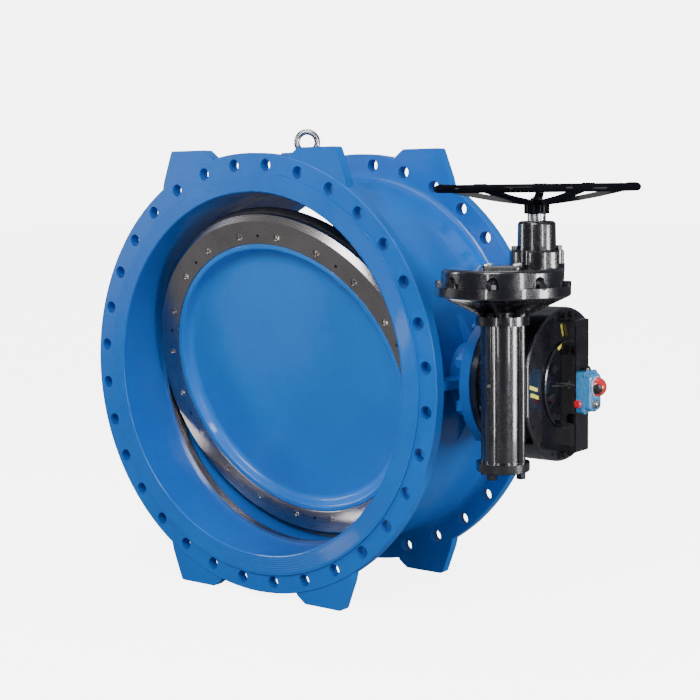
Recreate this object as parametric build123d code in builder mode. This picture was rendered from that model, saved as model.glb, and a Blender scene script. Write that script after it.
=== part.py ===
from build123d import *

import os
from math import acos, atan2, cos, degrees, hypot, pi, radians, sin, sqrt, tan

# Double-eccentric butterfly valve DN 1200 with a worm gearbox, a spur primary
# stage, a handwheel and a limit-switch box.
# Millimetres. Origin at the centre of the inlet joint face, +Y downstream,
# +X along the valve shaft towards the gearbox, +Z up.

os.makedirs("parts", exist_ok=True)

# ---------------------------------------------------------------- dimensions
# Pipe connection, PN 10 double flanged, long face-to-face
LENGTH = 630
BORE_R = 600
FLANGE_R = 1455 / 2
FLANGE_T = 45
RAISED_R = 1330 / 2
RAISED = 5
PIPE_BOLTS = 32
PIPE_BOLT_R = 1380 / 2
PIPE_HOLE_R = 41 / 2
OUTLET_HOLE_R = 42 / 2
BARREL_R = 640
FOOT_Z = 740

# Shaft line: half way along the body, and a little above the pipe axis
SHAFT_Y = LENGTH / 2
SHAFT_Z = 5
SHAFT_R = 55
OPENING = 15.5  # degrees the disc stands open at rest

# Seat and disc: both are zones of one sphere about the closed disc's centre
SEAT_FROM_Y = 205
SEAT_W = 40
SEAT_SPHERE = 600.2
SEAL_SPHERE = 599.8
SEAT_BORE_R = 606
DISC_BACK = 72
DISC_FRONT = 110
SEAL_BACK = 80
RING_BACK = 113
RING_FRONT = 145
RING_IN_R = 487
RING_FLAT_R = 565
RING_OUT_R = 585
SCREW_CIRCLE_R = 514.5
SCREWS = 20

# Trunnions and bushes
BOSS_R = 110
TRUNNION_END = 740
MOUNT_FLANGE_R = 415 / 2
MOUNT_FACE = 775
STUD_CIRCLE_R = 356 / 2
STUDS = 8
STUD_R = 15
BUSH_R = 62
INNER_BOSS_R = 69
INNER_BOSS_X = 594
HUB_END = 572
HUB_R = 90
GLAND_R = 68

# Worm gearbox
MODULE = 7.5
WHEEL_TEETH = 54
WORM_PITCH_R = 37.5
WHEEL_PITCH_R = MODULE * WHEEL_TEETH / 2
CENTRES = WHEEL_PITCH_R + WORM_PITCH_R
LEAD = pi * MODULE
WORM_X = 916
WORM_Y = SHAFT_Y - CENTRES
WHEEL_W = 60
DRUM_R = 237
CAVITY_R = 212
DRUM_START = 830
DRUM_END = 966
DRUM_FLAT = -134
COVER_FACE = 990
GEAR_SHAFT_R = 50
JOURNAL_R = 124.5
CAP_R = 135
CAP_BACK = COVER_FACE + 1.5
CAP_FACE = 1000
CAP_BOLT_R = 114
CAP_BOLT_START = -0.5  # in the disc's own frame
BARREL_TOP = 219
BARREL_BOTTOM = -218
WORM_BORE_R = 50
PILLAR_CIRCLE_R = 62

# Travelling-nut end stop below the worm
STOP_LEAD = 5
STOP_NUT_L = 24
STOP_TOP = -114

# Spur primary stage above the worm
SPUR_MODULE = 5
RING_TEETH = 52
PINION_TEETH = 12
CASE_FLANGE_R = 200
CASE_SPLIT = 308
SPUR_COVER_R = 180
SPUR_COVER_TOP = 373
PINION_DX = 80
PINION_DY = 60
INPUT_X = WORM_X + PINION_DX
INPUT_Y = WORM_Y + PINION_DY
NECK_BASE = 384
NECK_TOP = 508
HUB_BASE = 529
HUB_TOP = 563
WHEEL_RIM_Z = 604
WHEEL_RIM_R = 288.5
RIM_SECTION_R = 11.5
SPOKES = 5

# Limit-switch box on the end of the shaft line
BOX_BACK = 1050
BOX_SPLIT = 1070
BOX_FRONT = 1097
BOX_W = 78

FIT = 0.05  # radial clearance of a running or sliding fit

# -------------------------------------------------------------------- planes
TILT_SIN = sin(radians(OPENING))
TILT_COS = cos(radians(OPENING))
FACE_OUT = (0, -TILT_COS, -TILT_SIN)  # normal of the disc's face at rest
DISC_UP = (0, -TILT_SIN, TILT_COS)  # the disc's own upward direction at rest

# Across the shaft line: local x towards the inlet, local z along +X
shaft_fixed = Plane(origin=(0, SHAFT_Y, SHAFT_Z), x_dir=(0, -1, 0), z_dir=(1, 0, 0))
shaft_turned = Plane(origin=(0, SHAFT_Y, SHAFT_Z), x_dir=FACE_OUT, z_dir=(1, 0, 0))

# The disc's centre lies below the shaft line by the second eccentricity
disc_centre = Vector(0, SHAFT_Y, SHAFT_Z) - Vector(*DISC_UP) * SHAFT_Z
disc_face = Plane(origin=disc_centre, x_dir=(1, 0, 0), z_dir=FACE_OUT)
disc_section = Plane(origin=disc_centre, x_dir=(1, 0, 0), z_dir=Vector(*DISC_UP) * -1)
disc_axis = Axis(disc_centre, Vector(*FACE_OUT))

worm_base = Plane(origin=(WORM_X, WORM_Y, 0), x_dir=(1, 0, 0), z_dir=(0, 0, 1))
worm_section = Plane(origin=(WORM_X, WORM_Y, 0), x_dir=(1, 0, 0), z_dir=(0, -1, 0))
worm_axis = Axis((WORM_X, WORM_Y, 0), (0, 0, 1))
input_base = Plane(origin=(INPUT_X, INPUT_Y, 0), x_dir=(1, 0, 0), z_dir=(0, 0, 1))
input_section = Plane(origin=(INPUT_X, INPUT_Y, 0), x_dir=(1, 0, 0), z_dir=(0, -1, 0))
input_axis = Axis((INPUT_X, INPUT_Y, 0), (0, 0, 1))

# Bolt circles start at these angles
PIPE_START = 360 / PIPE_BOLTS / 2
EIGHTH_START = 22.5


# ------------------------------------------------------------------- helpers
def turned(plane, start, stages, mode=Mode.ADD):
    """Coaxial cylinders end to end along the plane's normal: (radius, end) each."""
    at = start
    for radius, end in stages:
        with BuildSketch(plane.offset(at)) as section:
            Circle(radius)
        extrude(section.sketch, amount=end - at, mode=mode)
        at = end


def ring(plane, start, end, outer, inner):
    """A plain round ring between two stations along the plane's normal."""
    with BuildSketch(plane.offset(start)) as section:
        Circle(outer)
        Circle(inner, mode=Mode.SUBTRACT)
    extrude(section.sketch, amount=end - start)


def round_pattern(plane, circle_r, count, start, radius, depth, mode=Mode.ADD):
    """Round pins or holes on a circle, from the plane to a signed depth."""
    with BuildSketch(plane) as section:
        with PolarLocations(circle_r, count, start):
            Circle(radius)
    extrude(section.sketch, amount=depth, mode=mode)


def hex_bolts(plane, circle_r, count, start, across, head, shank_r, length, out=1):
    """Hexagon bolts on a circle: washer-faced heads out of the plane, shanks in."""
    with BuildSketch(plane) as collars:
        with PolarLocations(circle_r, count, start):
            Circle(across * 0.475)
    extrude(collars.sketch, amount=out * 0.8)
    with BuildSketch(plane.offset(out * 0.8)) as heads:
        with PolarLocations(circle_r, count, start):
            RegularPolygon(across / 2, 6, major_radius=False)
    extrude(heads.sketch, amount=out * (head - 0.8))
    round_pattern(plane, circle_r, count, start, shank_r, -out * length)


def radial_plane(centre_x, centre_y, bearing):
    """Upright plane through a vertical axis: local x outwards, local y up."""
    turn = radians(bearing)
    return Plane(
        origin=(centre_x, centre_y, 0),
        x_dir=(cos(turn), sin(turn), 0),
        z_dir=(sin(turn), -cos(turn), 0),
    )


def gear_outline(module, teeth, tip_r, root_r, thin, start):
    """Involute outline as a closed ring of points; a tooth is centred at start."""
    pitch_r = module * teeth / 2
    base_r = pitch_r * cos(radians(20))
    lowest = max(base_r, root_r) + 0.01
    half = 90 / teeth - degrees(thin / 2 / pitch_r)

    def roll(radius):
        alpha = acos(base_r / radius)
        return degrees(tan(alpha) - alpha)

    flank = []
    for step in range(5):
        radius = lowest + (tip_r - lowest) * step / 4
        flank.append((radius, half + roll(pitch_r) - roll(radius)))
    points = []
    for tooth in range(teeth):
        middle = start + tooth * 360 / teeth
        rising = [(root_r, middle - flank[0][1])]
        rising += [(radius, middle - angle) for radius, angle in flank]
        falling = [(radius, middle + angle) for radius, angle in reversed(flank)]
        falling += [(root_r, middle + flank[0][1])]
        points += rising + falling
    return [(r * cos(radians(a)), r * sin(radians(a))) for r, a in points]


# ================================================================ valve body
# Half outline of the lug that serves as a foot below and as a guard above
LUG = [
    (165, 660),
    (165, 714),
    (200, FOOT_Z),
    (350, FOOT_Z),
    (388, 640),
    (396, 607),
    (380, 590),
]
LUG_STEP = 8
EYE_X = -8
EYE_SEAT_Z = 712

with BuildPart() as valve_body:
    # Barrel and flanges: x is the radius, y runs along the pipe
    with BuildSketch(Plane.XY) as body_profile:
        with BuildLine():
            Polyline(
                (BORE_R, 0),
                (RAISED_R, 0),
                (RAISED_R, RAISED),
                (FLANGE_R, RAISED),
                (FLANGE_R, FLANGE_T),
                (BARREL_R, FLANGE_T),
                (BARREL_R, LENGTH - FLANGE_T),
                (FLANGE_R, LENGTH - FLANGE_T),
                (FLANGE_R, LENGTH - RAISED),
                (RAISED_R, LENGTH - RAISED),
                (RAISED_R, LENGTH),
                (SEAT_BORE_R, LENGTH),
                (SEAT_BORE_R, SEAT_FROM_Y),
                (BORE_R, SEAT_FROM_Y),
                close=True,
            )
        make_face()
        roots = body_profile.vertices().filter_by(lambda v: abs(v.X - BARREL_R) < 1)
        fillet(roots, radius=24)
        rims = body_profile.vertices().filter_by(lambda v: abs(v.X - FLANGE_R) < 1)
        chamfer(rims, length=2.5)
        mouth = body_profile.vertices().filter_by(
            lambda v: v.X < 610 and (v.Y < 1 or v.Y > LENGTH - 1)
        )
        fillet(mouth, radius=5)
    revolve(axis=Axis.Y)
    # Lugs, four on each flange
    for lug_y, lug_t in ((LUG_STEP, FLANGE_T - LUG_STEP), (LENGTH - FLANGE_T, FLANGE_T - LUG_STEP)):
        with BuildSketch(Plane.XZ.offset(-lug_y)) as lugs:
            Polygon(*LUG, align=None)
            corners = lugs.vertices().filter_by(lambda v: v.Y > FOOT_Z - 30)
            fillet(corners, radius=13)
            mirror(about=Plane.YZ)
            mirror(about=Plane.XZ)
        extrude(amount=-lug_t)
    # Trunnion bosses, outside and inside the barrel
    for side in (1, -1):
        with BuildSketch(shaft_fixed.offset(side * 614)):
            Circle(BOSS_R)
        extrude(amount=side * (TRUNNION_END - 614))
        with BuildSketch(shaft_fixed.offset(side * INNER_BOSS_X)):
            Circle(INNER_BOSS_R)
        extrude(amount=side * (620 - INNER_BOSS_X))
    # Gearbox mounting flange
    with BuildSketch(shaft_fixed.offset(TRUNNION_END)):
        Circle(MOUNT_FLANGE_R)
    extrude(amount=MOUNT_FACE - TRUNNION_END)
    # Horizontal ribs from flange to flange past the trunnions
    with BuildSketch(Plane.XY.offset(SHAFT_Z - 14)):
        with BuildLine():
            Polyline(
                (622, FLANGE_T - 5),
                (704, FLANGE_T - 5),
                (722, SHAFT_Y - 100),
                (722, SHAFT_Y + 100),
                (704, LENGTH - FLANGE_T + 5),
                (622, LENGTH - FLANGE_T + 5),
                close=True,
            )
        make_face()
        mirror(about=Plane.YZ)
    extrude(amount=28)
    # Small gussets above and below each trunnion
    with BuildSketch(Plane.XZ.offset(-(SHAFT_Y - 14))):
        with BuildLine():
            Polyline((572, 240), (580, 252), (655, 118), (668, 60), (622, 60), close=True)
        make_face()
        mirror(about=Plane.YZ)
        mirror(about=Plane.XZ)
    extrude(amount=-28)
    # Lifting boss on top of the barrel
    with BuildSketch(Plane.XY.offset(626)):
        with Locations((EYE_X, SHAFT_Y)):
            Circle(40)
    extrude(amount=EYE_SEAT_Z - 626)
    with BuildSketch(Plane.XY.offset(EYE_SEAT_Z)):
        with Locations((EYE_X, SHAFT_Y)):
            Circle(12)
    extrude(amount=-46, mode=Mode.SUBTRACT)
    # Pipe bolt holes
    for flange_y, hole_r in ((0, PIPE_HOLE_R), (LENGTH - FLANGE_T - 1, OUTLET_HOLE_R)):
        with BuildSketch(Plane.XZ.offset(-flange_y)):
            with PolarLocations(PIPE_BOLT_R, PIPE_BOLTS, PIPE_START):
                Circle(hole_r)
        extrude(amount=-(FLANGE_T + 1), mode=Mode.SUBTRACT)
    # Bores for the bushes, the gland on the drive side and the plug end
    for side in (1, -1):
        with BuildSketch(shaft_fixed.offset(side * 585)):
            Circle(BUSH_R)
        extrude(amount=side * 115, mode=Mode.SUBTRACT)
    turned(shaft_fixed, 700, [(GLAND_R, 763), (90, MOUNT_FACE)], Mode.SUBTRACT)
    turned(shaft_fixed, -700, [(GLAND_R, -TRUNNION_END)], Mode.SUBTRACT)
    round_pattern(
        shaft_fixed.offset(MOUNT_FACE), STUD_CIRCLE_R, STUDS, EIGHTH_START, 16.5, -35, Mode.SUBTRACT
    )
    round_pattern(shaft_fixed.offset(-TRUNNION_END), 89, 6, 0, 8, 36, Mode.SUBTRACT)

with BuildPart() as body_seat_ring:
    with BuildSketch(Plane.XY):
        with BuildLine():
            seat_line = [
                (sqrt(SEAT_SPHERE**2 - (SHAFT_Y - y) ** 2), y)
                for y in (SEAT_FROM_Y, SEAT_FROM_Y + SEAT_W / 2, SEAT_FROM_Y + SEAT_W)
            ]
            ThreePointArc(*seat_line)
            Polyline(
                seat_line[2],
                (SEAT_BORE_R - FIT, SEAT_FROM_Y + SEAT_W),
                (SEAT_BORE_R - FIT, SEAT_FROM_Y),
                seat_line[0],
            )
        make_face()
    revolve(axis=Axis.Y)

# ------------------------------------------------------- trunnion furniture
with BuildPart() as drive_bush:
    ring(shaft_fixed, INNER_BOSS_X - 6, INNER_BOSS_X, GLAND_R, SHAFT_R + FIT)
    ring(shaft_fixed, INNER_BOSS_X, 698, BUSH_R - 0.02, SHAFT_R + FIT)

with BuildPart() as idle_bush:
    ring(shaft_fixed, -INNER_BOSS_X + 6, -INNER_BOSS_X, GLAND_R, SHAFT_R + FIT)
    ring(shaft_fixed, -INNER_BOSS_X, -698, BUSH_R - 0.02, SHAFT_R + FIT)

with BuildPart() as thrust_washers:
    ring(shaft_fixed, HUB_END + 0.5, INNER_BOSS_X - 6, GLAND_R, SHAFT_R + 0.5)
    ring(shaft_fixed, -HUB_END - 0.5, -INNER_BOSS_X + 6, GLAND_R, SHAFT_R + 0.5)

O_RING_X = (712, 738)
O_RING_W = 6
O_RING_R = 60
with BuildPart() as gland_bush:
    ring(shaft_fixed, 700, 763, GLAND_R - 0.02, SHAFT_R + FIT)
    ring(shaft_fixed, 763, MOUNT_FACE - 1, 89.9, SHAFT_R + FIT)
    for groove_x in O_RING_X:
        turned(shaft_fixed, groove_x, [(O_RING_R, groove_x + O_RING_W)], Mode.SUBTRACT)

with BuildPart() as shaft_o_rings:
    for groove_x in O_RING_X:
        ring(shaft_fixed, groove_x + 0.2, groove_x + O_RING_W - 0.2, O_RING_R - 0.05, SHAFT_R + FIT)

with BuildPart() as end_cover_gasket:
    ring(shaft_fixed, -TRUNNION_END, -TRUNNION_END - 2, BOSS_R - 1, GLAND_R)
    round_pattern(shaft_fixed.offset(-TRUNNION_END), 89, 6, 0, 9, -2, Mode.SUBTRACT)

with BuildPart() as end_cover:
    turned(shaft_fixed, -730, [(GLAND_R - 0.1, -TRUNNION_END - 2)])
    turned(shaft_fixed, -TRUNNION_END - 2, [(BOSS_R, -TRUNNION_END - 22), (BOSS_R - 6, -TRUNNION_END - 26)])
    round_pattern(shaft_fixed.offset(-TRUNNION_END - 26), 89, 6, 0, 9, 24, Mode.SUBTRACT)

with BuildPart() as end_cover_bolts:
    hex_bolts(shaft_fixed.offset(-TRUNNION_END - 26), 89, 6, 0, 24, 10, 7.9, 56, out=-1)

# Eyebolt, turned to where its thread pulled it tight
EYE_TURN = 32
EYE_RING_R = 35
EYE_WIRE_R = 10
eye_across = Plane(
    origin=(EYE_X, SHAFT_Y, EYE_SEAT_Z + 10 + EYE_RING_R + EYE_WIRE_R - 2),
    x_dir=(cos(radians(EYE_TURN)), sin(radians(EYE_TURN)), 0),
    z_dir=(sin(radians(EYE_TURN)), -cos(radians(EYE_TURN)), 0),
)
eye_base = Plane(origin=(EYE_X, SHAFT_Y, 0), x_dir=(1, 0, 0), z_dir=(0, 0, 1))
with BuildPart() as lifting_eyebolt:
    turned(eye_base, EYE_SEAT_Z - 44, [(11.9, EYE_SEAT_Z)])
    turned(eye_base, EYE_SEAT_Z, [(25, EYE_SEAT_Z + 8)])
    with BuildSketch(eye_base.offset(EYE_SEAT_Z + 8)) as eye_foot:
        Circle(24)
    with BuildSketch(eye_base.offset(EYE_SEAT_Z + 19)) as eye_neck:
        Circle(14)
    loft([eye_foot.sketch, eye_neck.sketch])
    add(eye_across * Torus(EYE_RING_R, EYE_WIRE_R, mode=Mode.PRIVATE))

# ================================================================= the disc
RIM_R = 568
WEB_X = 200
with BuildPart() as disc:
    # Dished plate: x is the radius, y the distance towards the inlet
    with BuildSketch(disc_section) as disc_profile:
        with BuildLine():
            Polyline(
                (0, DISC_BACK),
                (486, DISC_BACK),
                (508, 60),
                (560, 60),
                (RIM_R, 66),
                (RIM_R, SEAL_BACK),
                (548, SEAL_BACK),
                (548, RING_BACK),
                (RING_IN_R - 0.5, RING_BACK),
                (RING_IN_R - 0.5, RING_FRONT - 3),
                (RING_IN_R - 3, RING_FRONT - 1),
                (468, RING_FRONT - 1),
                (452, DISC_FRONT),
                (0, DISC_FRONT),
                close=True,
            )
        make_face()
        dish = disc_profile.vertices().sort_by_distance(Vector(452, DISC_FRONT, 0))[0]
        fillet(dish, radius=26)
        brow = disc_profile.vertices().sort_by_distance(Vector(468, RING_FRONT - 1, 0))[0]
        fillet(brow, radius=8)
    revolve(axis=disc_axis)
    # Hubs on the back, each tied to the plate by a saddle
    for side in (1, -1):
        with BuildSketch(shaft_turned.offset(side * 330)):
            Circle(HUB_R)
        extrude(amount=side * (HUB_END - 330))
        with BuildSketch(shaft_turned.offset(side * 330)):
            with Locations((DISC_BACK / 2 + 5, 0)):
                Rectangle(DISC_BACK + 10, 2 * HUB_R)
        extrude(amount=side * (532 - 330))
    # Spine between the hubs and two cross webs
    with BuildSketch(shaft_turned.offset(-331)):
        with Locations((30, 0)):
            Rectangle(100, 56)
    extrude(amount=662)
    for side in (1, -1):
        with BuildSketch(shaft_turned.offset(side * WEB_X - 13)):
            with BuildLine():
                Polyline((80, -470), (56, -470), (-18, -60), (-18, 60), (56, 470), (80, 470), close=True)
            make_face()
        extrude(amount=26)
    # Groove for the seal, cut through the hubs' ends as well
    with BuildSketch(disc_section):
        with Locations(((548 + 600) / 2, (SEAL_BACK + RING_BACK) / 2)):
            Rectangle(600 - 548, RING_BACK - SEAL_BACK)
    revolve(axis=disc_axis, mode=Mode.SUBTRACT)
    # Shaft sockets
    for side in (1, -1):
        with BuildSketch(shaft_turned.offset(side * (HUB_END + 1))):
            Circle(SHAFT_R + FIT)
        extrude(amount=-side * (HUB_END - 343), mode=Mode.SUBTRACT)
    # Tapped holes under the retaining screws
    round_pattern(
        disc_face.offset(RING_BACK), SCREW_CIRCLE_R, SCREWS, 9, 8, -28, Mode.SUBTRACT
    )
    # Cross holes for the disc pins, from the hub's back through the shaft
    PIN_X = (392, 500)
    PIN_R = 16
    pin_entry = Plane(
        origin=Vector(0, SHAFT_Y, SHAFT_Z) - Vector(*FACE_OUT) * (HUB_R + 4),
        x_dir=(1, 0, 0),
        z_dir=FACE_OUT,
    )
    with BuildSketch(pin_entry):
        with Locations(*[(side * x, 0) for side in (1, -1) for x in PIN_X]):
            Circle(PIN_R)
    extrude(amount=HUB_R + 4 + 66, mode=Mode.SUBTRACT)

with BuildPart() as disc_pins:
    with BuildSketch(pin_entry.offset(-2)):
        with Locations(*[(side * x, 0) for side in (1, -1) for x in PIN_X]):
            Circle(PIN_R - 0.02)
    extrude(amount=HUB_R + 4 + 66)
    chamfer(disc_pins.edges().group_by(Axis(disc_centre, Vector(*FACE_OUT)))[0], length=2)

with BuildPart() as disc_seal:
    with BuildSketch(disc_section):
        with BuildLine():
            seal_line = [
                (sqrt(SEAL_SPHERE**2 - u**2), u)
                for u in (SEAL_BACK, (SEAL_BACK + RING_BACK) / 2, RING_BACK)
            ]
            ThreePointArc(*seal_line)
            Polyline(
                seal_line[2],
                (548.3, RING_BACK),
                (548.3, SEAL_BACK),
                seal_line[0],
            )
        make_face()
    revolve(axis=disc_axis)

with BuildPart() as seal_retaining_ring:
    with BuildSketch(disc_section) as ring_profile:
        with BuildLine():
            Polyline(
                (RING_IN_R, RING_BACK),
                (RING_OUT_R, RING_BACK),
                (RING_OUT_R - 2, RING_FRONT - 17),
                (RING_FLAT_R, RING_FRONT),
                (RING_IN_R, RING_FRONT),
                close=True,
            )
        make_face()
        chamfer(
            ring_profile.vertices().sort_by_distance(Vector(RING_IN_R, RING_FRONT, 0))[0],
            length=1,
        )
    revolve(axis=disc_axis)
    ring_front = disc_face.offset(RING_FRONT)
    round_pattern(ring_front, SCREW_CIRCLE_R, SCREWS, 9, 8.5, -(RING_FRONT - RING_BACK), Mode.SUBTRACT)
    round_pattern(ring_front, SCREW_CIRCLE_R, SCREWS, 9, 13, -18, Mode.SUBTRACT)
    round_pattern(ring_front, SCREW_CIRCLE_R, 10, 18, 5, -26, Mode.SUBTRACT)

with BuildPart() as retaining_screws:
    seat_of_heads = disc_face.offset(RING_FRONT - 18)
    round_pattern(seat_of_heads, SCREW_CIRCLE_R, SCREWS, 9, 12, 15)
    round_pattern(seat_of_heads, SCREW_CIRCLE_R, SCREWS, 9, 7.9, -40)
    with BuildSketch(seat_of_heads.offset(15)) as sockets:
        with PolarLocations(SCREW_CIRCLE_R, SCREWS, 9):
            RegularPolygon(7, 6, major_radius=False)
    extrude(sockets.sketch, amount=-9, mode=Mode.SUBTRACT)

# ============================================================== valve shafts
KEY_W = 28
KEY_H = 16
KEY_FROM = 806
KEY_L = 150
with BuildPart() as drive_shaft:
    turned(shaft_turned, 346, [(SHAFT_R, MOUNT_FACE - 1), (GEAR_SHAFT_R, 970)])
    with BuildSketch(pin_entry):
        with Locations(*[(x, 0) for x in PIN_X]):
            Circle(PIN_R)
    extrude(amount=2 * HUB_R, mode=Mode.SUBTRACT)
    with BuildSketch(shaft_turned.offset(KEY_FROM)):
        with Locations((0, -GEAR_SHAFT_R)):
            Rectangle(KEY_W, 2 * 10)
    extrude(amount=KEY_L, mode=Mode.SUBTRACT)
    chamfer(drive_shaft.edges().group_by(Axis.X)[-1], length=2)

with BuildPart() as idle_shaft:
    turned(shaft_turned, -346, [(SHAFT_R, -727)])
    with BuildSketch(pin_entry):
        with Locations(*[(-x, 0) for x in PIN_X]):
            Circle(PIN_R)
    extrude(amount=2 * HUB_R, mode=Mode.SUBTRACT)

with BuildPart() as wheel_key:
    with BuildSketch(shaft_turned.offset(KEY_FROM + 0.5)):
        with Locations((0, -GEAR_SHAFT_R + 10 - KEY_H / 2 - 0.1)):
            Rectangle(KEY_W - 0.1, KEY_H)
    extrude(amount=KEY_L - 1)

# ============================================================== worm gearing
# The wheel is a sector: its toothed rim faces the worm over the disc's travel
TOOTH_PITCH = 360 / WHEEL_TEETH
LEAD_ANGLE = atan2(LEAD, 2 * pi * WORM_PITCH_R)
TWIST = degrees(tan(LEAD_ANGLE) * WHEEL_W / WHEEL_PITCH_R)
BACKLASH = 1.6
WHEEL_TIP_R = WHEEL_PITCH_R + MODULE
WHEEL_ROOT_R = WHEEL_PITCH_R - 1.25 * MODULE
FIRST_TOOTH = -13
LAST_TOOTH = 4


def wheel_sector(turn):
    """Outline of the toothed sector, turned about the shaft line by some degrees."""
    half_pitch = degrees((pi * MODULE / 2 - BACKLASH) / 2 / WHEEL_PITCH_R)
    slope = degrees(tan(radians(20)) / WHEEL_PITCH_R)
    points = []
    for tooth in range(FIRST_TOOTH, LAST_TOOTH + 1):
        middle = (tooth + 0.5) * TOOTH_PITCH + turn
        at_root = half_pitch + slope * (WHEEL_PITCH_R - WHEEL_ROOT_R)
        at_tip = half_pitch - slope * MODULE
        points.append((WHEEL_ROOT_R, middle - at_root))
        points.append((WHEEL_TIP_R, middle - at_tip))
        points.append((WHEEL_TIP_R, middle + at_tip))
        points.append((WHEEL_ROOT_R, middle + at_root))
    # Closed inside the hub
    for share in (1, 0.5, 0):
        points.append((75, (FIRST_TOOTH + 0.5 + share * (LAST_TOOTH - FIRST_TOOTH)) * TOOTH_PITCH + turn))
    return [(r * cos(radians(a)), r * sin(radians(a))) for r, a in points]


# At rest a tooth space faces the worm, whatever the opening of the disc
WHEEL_HUB_R = 95
COVER_BORE_R = 130
with BuildPart() as worm_wheel:
    # Hub, bored and keyed, with the journal and the tapped holes of the cap
    turned(shaft_turned, 778, [(70, 801), (WHEEL_HUB_R, 946), (JOURNAL_R, CAP_BACK)])
    turned(shaft_turned, 778, [(GEAR_SHAFT_R + FIT, 972)], Mode.SUBTRACT)
    with BuildSketch(shaft_turned.offset(KEY_FROM - 30)):
        with Locations((0, -GEAR_SHAFT_R + 4)):
            Rectangle(KEY_W, 2 * 10.4)
    extrude(amount=KEY_L + 31, mode=Mode.SUBTRACT)
    round_pattern(
        shaft_turned.offset(CAP_BACK), CAP_BOLT_R, 8, CAP_BOLT_START, 8.5, -34, Mode.SUBTRACT
    )
    # Toothed sector
    with BuildSketch(shaft_fixed.offset(WORM_X - WHEEL_W / 2)) as near_end:
        Polygon(*wheel_sector(-TWIST / 2), align=None)
    with BuildSketch(shaft_fixed.offset(WORM_X + WHEEL_W / 2)) as far_end:
        Polygon(*wheel_sector(TWIST / 2), align=None)
    loft([near_end.sketch, far_end.sketch], ruled=True)

with BuildPart() as wheel_bushes:
    ring(shaft_fixed, MOUNT_FACE + 1, 800, 79.95, 70 + FIT)
    ring(shaft_fixed, DRUM_END, COVER_FACE, COVER_BORE_R - 0.05, JOURNAL_R + FIT)

WORM_ROOT_R = WORM_PITCH_R - 1.2 * MODULE
WORM_TIP_R = WORM_PITCH_R + MODULE
THREAD_FROM = SHAFT_Z - 2.25 * LEAD  # so that a thread faces the wheel at shaft height
THREAD_L = 4.5 * LEAD
LOWER_BEARING = (-108, -86.5)
UPPER_BEARING = (100, 124)
RING_WEB = (300, 310)
with BuildPart() as worm_shaft:
    turned(
        worm_base,
        -214,
        [
            (20, -110),
            (25, LOWER_BEARING[1] + 0.5),
            (WORM_ROOT_R, UPPER_BEARING[0] - 0.5),
            (25, 126),
            (22, RING_WEB[1]),
            (16, 332),
        ],
    )
    # Single-start right-hand thread
    with BuildLine() as thread_path:
        Helix(LEAD, THREAD_L, WORM_PITCH_R, center=(WORM_X, WORM_Y, THREAD_FROM))
    half_crest = (pi * MODULE / 2 - BACKLASH) / 2 - MODULE * tan(radians(20))
    half_root = half_crest + (WORM_TIP_R - WORM_ROOT_R + 1) * tan(radians(20))
    thread_start = Plane(
        origin=thread_path.line @ 0,
        x_dir=(1, 0, 0),
        z_dir=thread_path.line % 0,
    )
    with BuildSketch(thread_start) as thread_section:
        with BuildLine():
            Polyline(
                (WORM_ROOT_R - 1 - WORM_PITCH_R, -half_root),
                (MODULE, -half_crest),
                (MODULE, half_crest),
                (WORM_ROOT_R - 1 - WORM_PITCH_R, half_root),
                close=True,
            )
        make_face()
    sweep(thread_section.sketch, path=thread_path.line, is_frenet=True)

with BuildPart() as worm_bearings:
    ring(worm_base, LOWER_BEARING[0], LOWER_BEARING[1], WORM_BORE_R - FIT, 25 + FIT)
    ring(worm_base, UPPER_BEARING[0], UPPER_BEARING[1], WORM_BORE_R - FIT, 25 + FIT)

# Travelling nut: it climbs to the closed stop and descends to the open stop
NUT_TURNS = OPENING / 360 * WHEEL_TEETH
NUT_TOP = STOP_TOP - STOP_LEAD * NUT_TURNS
with BuildPart() as travelling_nut:
    turned(worm_base, NUT_TOP - STOP_NUT_L, [(37.4, NUT_TOP)])
    with BuildSketch(worm_base.offset(NUT_TOP - STOP_NUT_L)):
        Rectangle(2 * 43.6, 11.6)
    extrude(amount=STOP_NUT_L)
    turned(worm_base, NUT_TOP - STOP_NUT_L, [(20 + FIT, NUT_TOP)], Mode.SUBTRACT)

with BuildPart() as stop_guide_sleeve:
    ring(worm_base, BARREL_BOTTOM, -112, WORM_BORE_R - FIT, 37.5)
    ring(worm_base, -112, -108, WORM_BORE_R - FIT, 27)
    with BuildSketch(worm_base.offset(BARREL_BOTTOM)):
        Rectangle(2 * 44, 12)
    extrude(amount=-112 - BARREL_BOTTOM, mode=Mode.SUBTRACT)

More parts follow.
